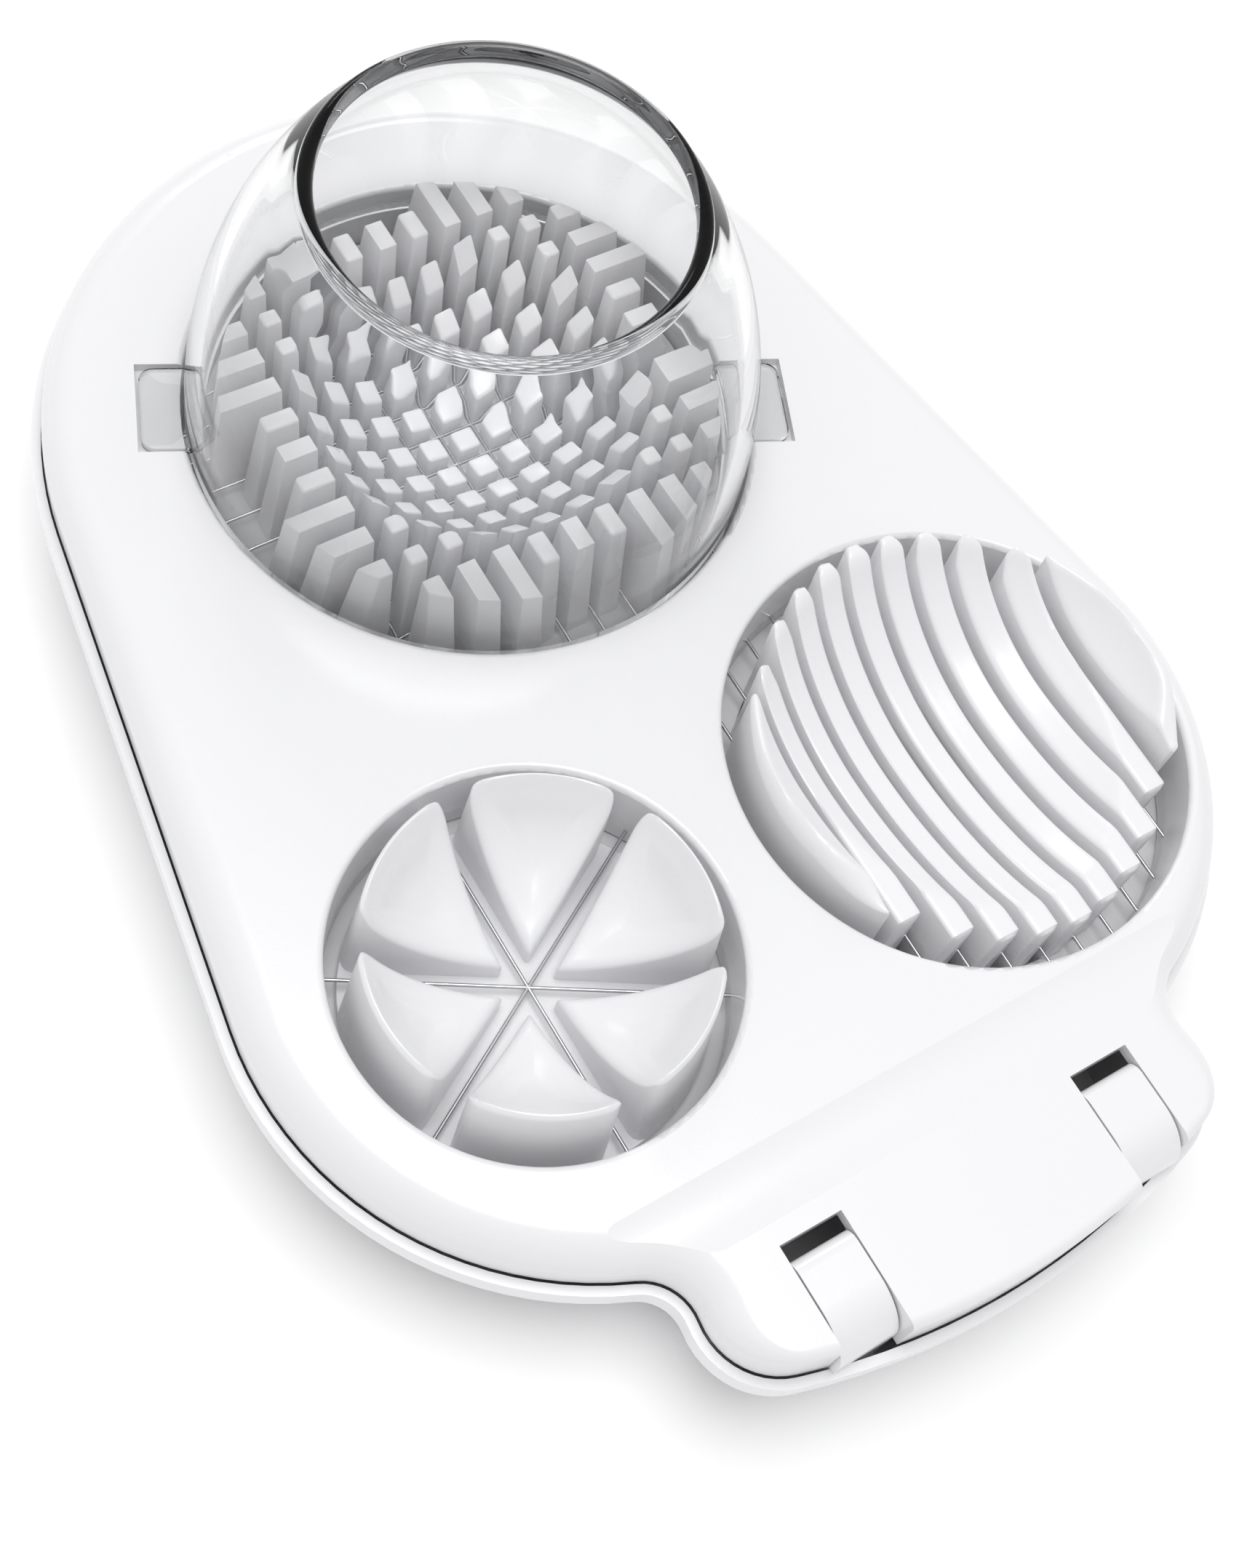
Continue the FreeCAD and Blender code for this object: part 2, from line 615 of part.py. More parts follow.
def base_tray(screws):
    """Tray with a thin rim, two knuckles and open floors under two cradles."""
    outside = leaning_tray("tray_outside", "rim_grow", "foot_height", "rim_top", "rim_band")
    inside = leaning_tray(
        "tray_inside", "rim_gap", FLOOR_TOP, "rim_top + overcut", "rim_band + overcut + tray_step")
    holes = new_body("floor_holes")
    plan = new_sketch(holes, "floor_openings", "0")
    circle_in(plan, "slicer", "slicer_x", "slicer_y", "rib_radius - skirt_inset")
    circle_in(plan, "wedger", "wedger_x", "wedger_y", "petal_radius / 2")
    pad(holes, "floor_hole_pads", plan, "2 * floor_thick + foot_height")
    doc.recompute()

    knuckles = []
    for side, x in (("right", "knuckle_x"), ("left", "-knuckle_x")):
        block = knuckle(f"knuckle_{side}_top", x, "rim_top - rim_band", "frame_top")
        doc.recompute()
        knuckles.append(rounded_knuckle(f"knuckle_{side}_rounded", block))
        foot = knuckle(f"knuckle_{side}_foot", x, "foot_height", "rim_top - overcut")
        knuckles.append(overlap(f"knuckle_{side}_low", [foot, outside]))
    bore = cylinder(
        "knuckle_bores", "pin_diameter / 2 + pin_clearance", "2 * knuckle_x + 2 * knuckle_width",
        ("-knuckle_x - knuckle_width", "hinge_y", "hinge_z"), Rotation(Vector(0, 1, 0), 90),
    )
    shell = cut("tray_pierced", cut("tray_shell", outside, inside), holes)
    whole = join("tray_with_knuckles", [shell] + knuckles)
    return finish(cut("tray_cut", whole, gather("tray_tools", [bore] + screws)), "base_tray")


# ------------------------------------------------------------------- cradles
def cradle(label, opening, block, block_radius, reach, cutters, screws, bosses):
    """Block on a shelf and a skirt, shaped by one cutter after another.

    The shelf's outer ring is joined on after the cutting, so it stays whole
    and holds the ribs together where the cutters go right through the block.
    """
    x, y, _ = opening
    below = "shelf_top - shell"
    shelf = cylinder(label + "_shelf", reach, "shell", (x, y, below))
    inner = cylinder(label + "_shelf_hole", f"{block_radius} - shelf_overlap", "shell", (x, y, below))
    depth = f"{below} - ({FLOOR_TOP})"
    skirt = cylinder(label + "_skirt", f"{block_radius} + shell / 2", depth, (x, y, FLOOR_TOP))
    hollow = cylinder(label + "_hollow", f"{block_radius} - shell / 2", depth, (x, y, FLOOR_TOP))
    shaped = block
    for number, cutter in enumerate(cutters, start=1):
        shaped = cut(f"{label}_shaped_{number}", shaped, cutter)
    pieces = [shaped, cut(label + "_shelf_ring", shelf, inner), cut(label + "_wall", skirt, hollow)]
    pieces += [
        cylinder(f"{label}_boss_{number}", "boss_radius", depth, (boss_x, boss_y, FLOOR_TOP))
        for number, (boss_x, boss_y) in enumerate(bosses, start=1)
    ]
    whole = join(label + "_whole", pieces)
    finish(cut(label + "_drilled", whole, gather(label + "_screws", screws)), label)


def round_block(name, opening, radius, top):
    """Upright block that the ribs or petals are cut from."""
    x, y, _ = opening
    return cylinder(name, radius, f"{top} - (shelf_top - shell)", (x, y, "shelf_top - shell"))


def gap_block(name, middle, block_radius, width, low, angle=90):
    """Flat-sided gap through a block: along a wire at an angle from +X, past (x, y)."""
    x, y = middle
    long = f"2 * ({block_radius} + overcut)"
    item = doc.addObject("Part::Box", name)
    bind(item, Length=long, Width=width, Height="petal_top")
    item.Placement = Placement(Vector(), Rotation(Vector(0, 0, 1), angle))
    cos, sin = round(math.cos(math.radians(angle)), 12), round(math.sin(math.radians(angle)), 12)
    return move(item, (
        f"{x} - {cos} * ({long}) / 2 + {sin} * ({width}) / 2",
        f"{y} - {sin} * ({long}) / 2 - {cos} * ({width}) / 2",
        low,
    ))


def side_trims(x, y):
    """Boxes that shorten the middle fingers of each side and clear the corners between sides.

    Past the outermost wires the fingers run on to the edge of the field, so
    only the middle rows of each side are cut short.
    """
    trims = []
    half = f"(pitch * {SHORT_ROWS / 2})"
    past_wires = f"(pitch * {(DICER_WIRES - 1) / 2})"
    long = "2 * finger_radius"
    for number, (along_x, along_y) in enumerate(((1, 0), (0, 1), (-1, 0), (0, -1)), start=1):
        size = [long if along_x else f"2 * {half}", long if along_y else f"2 * {half}", "petal_top"]
        low = [
            f"{middle} + short_reach" if sign > 0 else f"{middle} - short_reach - {long}" if sign < 0
            else f"{middle} - {half}"
            for middle, sign in ((x, along_x), (y, along_y))
        ]
        trims.append(box(f"side_trim_{number}", size, (*low, "slot_floor")))
    for number, (side_x, side_y) in enumerate(((1, 1), (1, -1), (-1, 1), (-1, -1)), start=1):
        low = [
            f"{middle} + {past_wires}" if sign > 0 else f"{middle} - {past_wires} - {long}"
            for middle, sign in ((x, side_x), (y, side_y))
        ]
        trims.append(box(f"corner_trim_{number}", (long, long, "petal_top"), (*low, "slot_floor")))
    return trims


def dicer_cradle(screws, bosses):
    opening = OPENINGS["dicer"]
    x, y, _ = opening
    block = doc.addObject("Part::Cone", "dicer_block")
    height = "finger_top - (shelf_top - shell)"
    bind(block, Radius1="finger_radius", Radius2="finger_top_radius", Height=height)
    move(block, (x, y, "shelf_top - shell"))
    dish = doc.addObject("Part::Sphere", "dicer_dish")
    bind(dish, Radius="dicer_dish")
    move(dish, (x, y, "dicer_dish_low + dicer_dish"))
    lengthwise, crosswise = [], []
    for number, step in enumerate(dicer_offsets(), start=1):
        along, across = (f"{step} * pitch", y), (x, f"{y} + {step} * pitch")
        lengthwise.append(gap_block(f"dicer_gap_{number}", along, "finger_radius", "gap", "slot_floor"))
        crosswise.append(gap_block(f"dicer_cross_gap_{number}", across, "finger_radius", "gap", "slot_floor", 0))
    cutters = [dish, gather("dicer_gaps", lengthwise), gather("dicer_cross_gaps", crosswise)]
    cutters.append(gather("dicer_trims", side_trims(x, y)))
    cradle("dicer_cradle", opening, block, "finger_radius", "dicer_shelf", cutters, screws, bosses)


def slicer_cradle(screws, bosses):
    opening = OPENINGS["slicer"]
    x, y, _ = opening
    middle_y = f"{y} + slicer_dish_shift"
    # the dish reaches further towards the hinge, so each half is its own ellipsoid
    halves = []
    for side, turn in (("far", 0), ("near", 180)):
        half = doc.addObject("Part::Ellipsoid", f"slicer_dish_{side}")
        half.Angle1, half.Angle2, half.Angle3 = -90, 90, 180
        half.Placement = Placement(Vector(), Rotation(Vector(0, 0, 1), turn))
        bind(half, Radius1="slicer_dish_z", Radius2="slicer_dish_x", Radius3=f"slicer_dish_{side}")
        halves.append(move(half, (x, middle_y, "slicer_dish_low + slicer_dish_z")))
    # between the two side caps the ribs end level next to the hinge
    near = box(
        "near_rib_ends", (f"{SLICER_WIRES - 1} * pitch", "rib_radius", "petal_top"),
        (f"{x} - {(SLICER_WIRES - 1) / 2} * pitch", f"{middle_y} - rib_radius", "rib_near_top"),
    )
    gaps = []
    for number in range(1, SLICER_WIRES + 1):
        offset = f"{number - (SLICER_WIRES + 1) / 2} * pitch"
        gaps.append(gap_block(f"slicer_gap_{number}", (f"{x} + {offset}", y), "rib_radius", "gap", "0"))
    cutters = [*halves, near, gather("slicer_gaps", gaps)]
    block = round_block("slicer_block", opening, "rib_radius", "rib_top")
    reach = "slicer_radius + ring_width * shelf_share"
    cradle("slicer_cradle", opening, block, "rib_radius", reach, cutters, screws, bosses)


def wedger_cradle(screws, bosses):
    opening = OPENINGS["wedger"]
    x, y, _ = opening
    dish = doc.addObject("Part::Sphere", "wedger_dish")
    bind(dish, Radius="wedger_dish")
    move(dish, (x, y, "wedger_dish_low + wedger_dish"))
    cutters = [dish] + [
        gap_block(f"wedger_groove_{number}", (x, y), "petal_radius", "groove", "slot_floor", angle)
        for number, angle in enumerate(WEDGER_ANGLES, start=1)
    ]
    block = round_block("wedger_block", opening, "petal_radius", "petal_top")
    reach = "wedger_radius + ring_width * shelf_share"
    cradle("wedger_cradle", opening, block, "petal_radius", reach, cutters, screws, bosses)


# -------------------------------------------------------------------- fixings
def ring_of_places(opening, radius, angles):
    """Points round a cradle's centre, as formulas."""
    x, y, _ = opening
    return [(f"{x} + ({radius}) * {math.cos(math.radians(angle)):.6f}",
             f"{y} + ({radius}) * {math.sin(math.radians(angle)):.6f}") for angle in angles]


def cradle_screw(name, place):
    """Pan-head screw, let into the underside of the tray."""
    x, y = place
    head = cylinder(name + "_head", "head_diameter / 2", "head_height", (x, y, "foot_height"))
    shank = cylinder(name + "_shank", "screw_diameter / 2", "screw_length", (x, y, "foot_height + head_height"))
    return join(name, [head, shank])


def rubber_feet():
    """Four round feet under the tray."""
    places = [(side + "corner_x", "corner_y + foot_back") for side in ("", "-")]
    places += [(side + "far_radius / 2", "far_y + far_radius * foot_share") for side in ("", "-")]
    for number, (x, y) in enumerate(places, start=1):
        foot = cylinder(f"foot_block_{number}", "foot_diameter / 2", "foot_height", (x, y, "0"))
        finish(foot, f"rubber_foot_{number}")


def hinge_pins():
    """A short pin through each knuckle, held in the frame's cheeks."""
    for side, sign in (("right", ""), ("left", "-")):
        low_x = f"{sign}knuckle_x - notch_width / 2 - cheek"
        pin = cylinder(f"pin_{side}", "pin_diameter / 2", "notch_width + 2 * cheek",
                       (low_x, "hinge_y", "hinge_z"), Rotation(Vector(0, 1, 0), 90))
        finish(pin, f"hinge_pin_{side}")


# ------------------------------------------------------------------- assembly
SCREW_PLACES = {
    "dicer": ring_of_places(OPENINGS["dicer"], "finger_radius - dicer_screw_inset", (90, 210, 330)),
    "slicer": ring_of_places(OPENINGS["slicer"], "rib_radius - slicer_screw_inset", (0, 180)),
    "wedger": ring_of_places(OPENINGS["wedger"], "petal_radius - wedger_screw_inset", (0, 120, 240)),
}
screws = {
    name: [cradle_screw(f"{name}_screw_{number}", place) for number, place in enumerate(places, start=1)]
    for name, places in SCREW_PLACES.items()
}
all_screws = [screw for group in screws.values() for screw in group]
finish(gather("screw_group", all_screws), "cradle_screws")

base_tray(all_screws)
dicer_cradle(screws["dicer"], SCREW_PLACES["dicer"])
slicer_cradle(screws["slicer"], SCREW_PLACES["slicer"])
wedger_cradle(screws["wedger"], SCREW_PLACES["wedger"])
rubber_feet()
top_frame()
hinge_pins()
wire_ring("dicer_wire_ring", ("0", "far_y"), "dicer_radius", "dicer_ring_width", dicer_wires())
wire_ring("slicer_wire_ring", ("slicer_x", "slicer_y"), "slicer_radius", "ring_width", slicer_wires())
wire_ring("wedger_wire_ring", ("wedger_x", "wedger_y"), "wedger_radius", "ring_width", wedger_wires())
clear_guard()

# --------------------------------------------------------------------- export
doc.recompute()
for item in doc.Objects:
    if "Invalid" in item.State or "Error" in item.State:
        raise RuntimeError(f"{item.Name} failed: {item.State}")
os.makedirs("parts", exist_ok=True)
for item in sub_parts:
    shape = item.Shape
    if shape.isNull() or not shape.isValid() or not shape.Solids:
        raise RuntimeError(f"{item.Label} has a bad shape")
    shape.exportStep(f"parts/{item.Label}.step")
    box_mm = shape.BoundBox
    print(f"{item.Label:24s} {len(shape.Solids):3d} solids {shape.Volume:10.1f} mm3  "
          f"x {box_mm.XMin:7.1f} {box_mm.XMax:7.1f}  y {box_mm.YMin:7.1f} {box_mm.YMax:7.1f}  "
          f"z {box_mm.ZMin:5.1f} {box_mm.ZMax:5.1f}")
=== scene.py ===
"""Visual model of the egg slicer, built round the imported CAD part.

Sizes are in millimetres and are turned into metres when a mesh is made.
"""
import math

import bmesh
import bpy
from mathutils import Matrix, Vector


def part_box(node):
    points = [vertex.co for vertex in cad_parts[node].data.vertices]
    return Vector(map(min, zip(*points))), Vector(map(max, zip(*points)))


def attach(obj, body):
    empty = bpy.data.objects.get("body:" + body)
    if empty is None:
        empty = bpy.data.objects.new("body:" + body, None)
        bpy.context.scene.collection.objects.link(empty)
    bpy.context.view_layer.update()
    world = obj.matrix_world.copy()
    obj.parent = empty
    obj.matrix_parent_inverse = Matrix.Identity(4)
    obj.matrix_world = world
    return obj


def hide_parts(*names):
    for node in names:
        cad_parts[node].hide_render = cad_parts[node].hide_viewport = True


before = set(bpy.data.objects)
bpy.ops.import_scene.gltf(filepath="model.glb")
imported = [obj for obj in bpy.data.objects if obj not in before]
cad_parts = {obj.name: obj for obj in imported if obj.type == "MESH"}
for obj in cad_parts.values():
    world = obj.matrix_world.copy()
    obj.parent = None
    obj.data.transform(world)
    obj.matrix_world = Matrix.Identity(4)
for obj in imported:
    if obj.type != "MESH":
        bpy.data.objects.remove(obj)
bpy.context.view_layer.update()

MM = 0.001


# ------------------------------------------------------------ places from the CAD
def middle_of(node):
    """Middle of a CAD node's box, in millimetres."""
    low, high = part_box(node)
    return (low + high) / 2 / MM


def low_high(node):
    """Lowest and highest corner of a CAD node's box, in millimetres."""
    low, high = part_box(node)
    return low / MM, high / MM


DICER = middle_of("dicer_wire_ring")
SLICER = middle_of("slicer_wire_ring")
WEDGER = middle_of("wedger_wire_ring")
FRAME_TOP = low_high("top_frame")[1].z
WIRE_LEVEL = middle_of("wedger_wire_1").z
PITCH = middle_of("slicer_wire_02").x - middle_of("slicer_wire_01").x
GUARD_TOP = low_high("clear_guard")[1].z
GUARD_LOW = low_high("clear_guard")[0].z
RING_GAP = 0.5  # between a wire ring and the cradle's shelf under it
WIRE_DROP = 1.5  # from a wire's axis to the bottom of its gap
SHELF_TOP = low_high("slicer_wire_ring")[0].z - RING_GAP
SLOT_FLOOR = WIRE_LEVEL - WIRE_DROP
FLOOR_TOP = 4.5  # inside of the tray's floor
SHELL = 2.0  # walls and shelves of the cradles
BELOW = SHELF_TOP - SHELL
SUNK = 1.0  # how far fingers and petals reach down into the floor they stand on
GAP = 1.5  # wire gap between fingers or ribs
AXIS = 0.001  # radius that stands for the axis itself in a turned profile


# ---------------------------------------------------------------------- materials
def new_material(name):
    """Material with a Principled shader, and a function that adds and links nodes."""
    material = bpy.data.materials.new(name)
    material.use_nodes = True
    tree = material.node_tree
    shader = tree.nodes["Principled BSDF"]

    def add(kind, **values):
        node = tree.nodes.new(kind)
        for key, value in values.items():
            if hasattr(node, key):
                setattr(node, key, value)
            else:
                node.inputs[key.replace("_", " ")].default_value = value
        return node

    return material, tree, shader, add


def spread(tree, add, source, low, high):
    """Map a 0 to 1 value on to low to high."""
    node = add("ShaderNodeMapRange")
    node.inputs["To Min"].default_value = low
    node.inputs["To Max"].default_value = high
    tree.links.new(source, node.inputs["Value"])
    return node.outputs["Result"]


def moulded_plastic(name, colour, shade, rough, grain, grain_scale, coat=0.0):
    """Moulded plastic: faint cloudy colour, uneven gloss and a fine surface grain."""
    material, tree, shader, add = new_material(name)
    place = add("ShaderNodeTexCoord").outputs["Object"]
    cloud = add("ShaderNodeTexNoise", Scale=55.0, Detail=3.0, Roughness=0.5)
    fine = add("ShaderNodeTexNoise", Scale=grain_scale, Detail=4.0, Roughness=0.6)
    tree.links.new(place, cloud.inputs["Vector"])
    tree.links.new(place, fine.inputs["Vector"])
    mix = add("ShaderNodeMix", data_type="RGBA")
    mix.inputs["A"].default_value = (*colour, 1.0)
    mix.inputs["B"].default_value = (*shade, 1.0)
    tree.links.new(cloud.outputs["Fac"], mix.inputs["Factor"])
    tree.links.new(mix.outputs["Result"], shader.inputs["Base Color"])
    gloss = spread(tree, add, cloud.outputs["Fac"], rough[0], rough[1])
    tree.links.new(gloss, shader.inputs["Roughness"])
    bump = add("ShaderNodeBump", Strength=grain, Distance=0.0001)
    tree.links.new(fine.outputs["Fac"], bump.inputs["Height"])
    tree.links.new(bump.outputs["Normal"], shader.inputs["Normal"])
    shader.inputs["Specular IOR Level"].default_value = 0.5
    shader.inputs["IOR"].default_value = 1.52
    shader.inputs["Coat Weight"].default_value = coat
    shader.inputs["Coat Roughness"].default_value = 0.12
    return material


def clear_plastic(name):
    """Clear moulded plastic with a faintly uneven surface."""
    material, tree, shader, add = new_material(name)
    place = add("ShaderNodeTexCoord").outputs["Object"]
    wave = add("ShaderNodeTexNoise", Scale=60.0, Detail=1.5, Roughness=0.4)
    tree.links.new(place, wave.inputs["Vector"])
    bump = add("ShaderNodeBump", Strength=0.03, Distance=0.001)
    tree.links.new(wave.outputs["Fac"], bump.inputs["Height"])
    tree.links.new(bump.outputs["Normal"], shader.inputs["Normal"])
    rough = spread(tree, add, wave.outputs["Fac"], 0.0, 0.015)
    tree.links.new(rough, shader.inputs["Roughness"])
    shader.inputs["Base Color"].default_value = (0.99, 0.993, 0.996, 1.0)
    shader.inputs["Transmission Weight"].default_value = 1.0
    shader.inputs["IOR"].default_value = 1.3
    return material


def drawn_steel(name, colour, rough):
    """Drawn or turned steel, with a fine unevenness in gloss and tone."""
    material, tree, shader, add = new_material(name)
    place = add("ShaderNodeTexCoord").outputs["Object"]
    noise = add("ShaderNodeTexNoise", Scale=1500.0, Detail=3.0, Roughness=0.6)
    tree.links.new(place, noise.inputs["Vector"])
    mix = add("ShaderNodeMix", data_type="RGBA")
    mix.inputs["A"].default_value = (*colour, 1.0)
    mix.inputs["B"].default_value = (*[c * 0.8 for c in colour], 1.0)
    tree.links.new(noise.outputs["Fac"], mix.inputs["Factor"])
    tree.links.new(mix.outputs["Result"], shader.inputs["Base Color"])
    gloss = spread(tree, add, noise.outputs["Fac"], rough - 0.06, rough + 0.06)
    tree.links.new(gloss, shader.inputs["Roughness"])
    shader.inputs["Metallic"].default_value = 1.0
    return material


WHITE = (0.86, 0.86, 0.875)
WHITE_SHADE = (0.845, 0.845, 0.862)
SHELL_WHITE = moulded_plastic("white_shell", WHITE, WHITE_SHADE, (0.2, 0.27), 0.12, 2600.0, 0.25)
CRADLE_WHITE = moulded_plastic("white_cradle", WHITE, WHITE_SHADE, (0.24, 0.33), 0.2, 2200.0, 0.15)
RING_WHITE = moulded_plastic("white_ring", (0.82, 0.82, 0.83), (0.8, 0.8, 0.81), (0.35, 0.42), 0.3, 2200.0)
RUBBER = moulded_plastic("grey_rubber", (0.62, 0.62, 0.63), (0.58, 0.58, 0.59), (0.6, 0.7), 0.5, 1800.0)
CLEAR = clear_plastic("clear_guard")
WIRE = drawn_steel("stainless_wire", (0.62, 0.62, 0.63), 0.25)
STEEL = drawn_steel("plated_steel", (0.66, 0.66, 0.67), 0.3)


# ------------------------------------------------------------------------- meshes
class Shape:
    """Growing list of vertices and faces, in millimetres."""

    def __init__(self):
        self.verts, self.faces = [], []

    def add(self, verts, faces):
        start = len(self.verts)
        self.verts += [tuple(v) for v in verts]
        self.faces += [tuple(start + i for i in f) for f in faces]

    def loops(self, rings, close_low=False, close_high=False):
        """Skin of quads over rings of points, all of the same length and closed."""
        count = len(rings[0])
        verts = [p for ring in rings for p in ring]
        faces = []
        for k in range(len(rings) - 1):
            for i in range(count):
                j = (i + 1) % count
                faces.append((k * count + i, k * count + j, (k + 1) * count + j, (k + 1) * count + i))
        if close_low:
            faces.append(tuple(range(count))[::-1])
        if close_high:
            faces.append(tuple((len(rings) - 1) * count + i for i in range(count)))
        self.add(verts, faces)

    def piece(self, name, body, node, material, smooth_angle=35):
        """Object that rides on a body and stands for a CAD node."""
        mesh = bpy.data.meshes.new(name)
        mesh.from_pydata([Vector(v) * MM for v in self.verts], [], self.faces)
        mesh.validate()
        bm = bmesh.new()
        bm.from_mesh(mesh)
        bmesh.ops.remove_doubles(bm, verts=bm.verts, dist=1e-7)
        bmesh.ops.recalc_face_normals(bm, faces=bm.faces)
        bm.to_mesh(mesh)
        bm.free()
        mesh.shade_smooth()
        mesh.set_sharp_from_angle(angle=math.radians(smooth_angle))
        piece = bpy.data.objects.new(name, mesh)
        bpy.context.scene.collection.objects.link(piece)
        mesh.materials.append(material)
        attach(piece, body)
        if node:
            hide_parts(node)
        return piece


def turned(shape, centre, profile, steps=128):
    """Solid of revolution about an upright axis; profile is a closed list of (radius, z)."""
    rings = []
    for i in range(steps):
        angle = 2 * math.pi * i / steps
        c, s = math.cos(angle), math.sin(angle)
        rings.append([(centre.x + r * c, centre.y + r * s, z) for r, z in profile])
    count = len(profile)
    verts = [p for ring in rings for p in ring]
    faces = []
    for i in range(steps):
        j = (i + 1) % steps
        for k in range(count):
            m = (k + 1) % count
            faces.append((i * count + k, j * count + k, j * count + m, i * count + m))
    shape.add(verts, faces)


def rounded_corners(points, radius, steps=4):
    """Closed profile with each corner rounded off where there is room."""
    out = []
    for i, p in enumerate(points):
        here = Vector(p)
        before, after = Vector(points[i - 1]) - here, Vector(points[(i + 1) % len(points)]) - here
        reach = min(radius, before.length * 0.45, after.length * 0.45)
        a, b = here + before.normalized() * reach, here + after.normalized() * reach
        for k in range(steps + 1):
            t = k / steps
            q = a * (1 - t) ** 2 + here * 2 * t * (1 - t) + b * t**2
            out.append(tuple(q))
    return out


def skirt_profile(shelf, radius):
    """Outer end of a cradle's shelf, and the skirt that stands on the tray's floor."""
    out, inside = radius + SHELL / 2, radius - SHELL / 2
    return [
        (shelf, SHELF_TOP), (shelf, BELOW), (out, BELOW), (out, FLOOR_TOP),
        (inside, FLOOR_TOP), (inside, BELOW),
    ]


# ------------------------------------------------------------------ dicer cradle
FINGER_RADIUS = 34.2  # skirt under the fingers
EDGE_ROOM = 2.0  # how far past that the outermost fingers start, before they are cut
FIELD_TOP = 33.3  # radius of the field of fingers at their tops
FINGER_TOP = 33.5
HALF_GAP = GAP / 2
SHORT_REACH = 28.3  # outer side of the short fingers at their tops
SHORT_ROWS = 1  # short fingers on each side of the middle one
OUTER_LEAN = 0.135  # lean of the outward faces, as a slope
DICER_FLOOR = 37.8  # radius of the flat floor round the fingers
DICER_SHELF = 38.4
DICER_DISH = 27.5
DICER_DISH_LOW = 20.0
DRAFT = 0.03  # taper of a finger, as a slope
FINGER_EDGE = 0.45
LAST = 5  # number of the outermost finger from the middle


def dicer_span(k):
    """Low and high side of a finger in one direction; the outermost ones run on to the edge."""
    low, high = (abs(k) - 0.5) * PITCH + HALF_GAP, (abs(k) + 0.5) * PITCH - HALF_GAP
    if abs(k) == LAST:
        high = FINGER_RADIUS + EDGE_ROOM
    if k == 0:
        return -high, high
    return (low, high) if k > 0 else (-high, -low)


def dicer_finger(shape, i, j):
    """One finger: a tapered column cut off by the edge of the field, the dish and a level top."""
    bm = bmesh.new()
    slope = DRAFT * (FINGER_TOP - SLOT_FLOOR)
    (x0, x1), (y0, y1) = dicer_span(i), dicer_span(j)
    corners = [(x0, y0), (x1, y0), (x1, y1), (x0, y1)]
    inward = [(1, 1), (-1, 1), (-1, -1), (1, -1)]
    low = [bm.verts.new((x, y, SLOT_FLOOR - SUNK)) for x, y in corners]
    high = [
        bm.verts.new((x + a * slope, y + b * slope, FINGER_TOP))
        for (x, y), (a, b) in zip(corners, inward)
    ]
    bm.faces.new(low[::-1])
    bm.faces.new(high)
    for k in range(4):
        n = (k + 1) % 4
        bm.faces.new((low[k], low[n], high[n], high[k]))
    middle = Vector((i * PITCH, j * PITCH, 0))

    def slice_off(point, normal):
        """Cut away what is beyond a plane, and close the cut."""
        geom = bm.verts[:] + bm.edges[:] + bm.faces[:]
        cut = bmesh.ops.bisect_plane(
            bm, geom=geom, dist=1e-5, plane_co=point, plane_no=normal, clear_outer=True)
        edges = [e for e in cut["geom_cut"] if isinstance(e, bmesh.types.BMEdge)]
        if edges:
            bmesh.ops.holes_fill(bm, edges=edges)

    def lean_off(out, reach):
        """Cut the outward side to a leaning face that is at the reach at the finger's top."""
        point = out * reach + Vector((0, 0, FINGER_TOP))
        slice_off(point, (out + Vector((0, 0, OUTER_LEAN))).normalized())

    for k, other, axis in ((i, j, Vector((1, 0, 0))), (j, i, Vector((0, 1, 0)))):
        if abs(k) == LAST and abs(other) <= SHORT_ROWS:
            lean_off(axis * math.copysign(1, k), SHORT_REACH)
    if middle.length > FIELD_TOP - 8:
        for turn in (-8, -4, 0, 4, 8):
            lean_off(Matrix.Rotation(math.radians(turn), 3, "Z") @ middle.normalized(), FIELD_TOP)
    if middle.length < DICER_DISH - 1:
        centre = Vector((0, 0, DICER_DISH_LOW + DICER_DISH))
        depth = math.sqrt(DICER_DISH**2 - middle.length_squared)
        point = Vector((middle.x, middle.y, centre.z - depth))
        slice_off(point, (centre - point).normalized())
    if not bm.faces:
        bm.free()
        return
    edges = [e for e in bm.edges if max(v.co.z for v in e.verts) > SLOT_FLOOR]
    bmesh.ops.bevel(bm, geom=edges, offset=FINGER_EDGE, offset_type="OFFSET", segments=3, profile=0.5,
                    affect="EDGES", clamp_overlap=True)
    bm.verts.index_update()
    shape.add([v.co + Vector((DICER.x, DICER.y, 0)) for v in bm.verts],
              [[v.index for v in f.verts] for f in bm.faces])
    bm.free()


def dicer_cradle():
    """Round floor on a skirt, with a field of fingers."""
    shape = Shape()
    profile = [(DICER_FLOOR, SLOT_FLOOR), (DICER_FLOOR, SHELF_TOP), *skirt_profile(DICER_SHELF, FINGER_RADIUS)]
    turned(shape, DICER, rounded_corners(profile, 0.3) + [(AXIS, BELOW), (AXIS, SLOT_FLOOR)])
    for i in range(-LAST, LAST + 1):
        for j in range(-LAST, LAST + 1):
            if abs(i) < LAST or abs(j) < LAST:
                dicer_finger(shape, i, j)
    return shape.piece("dicer_cradle_fingers", "base", "dicer_cradle", CRADLE_WHITE)


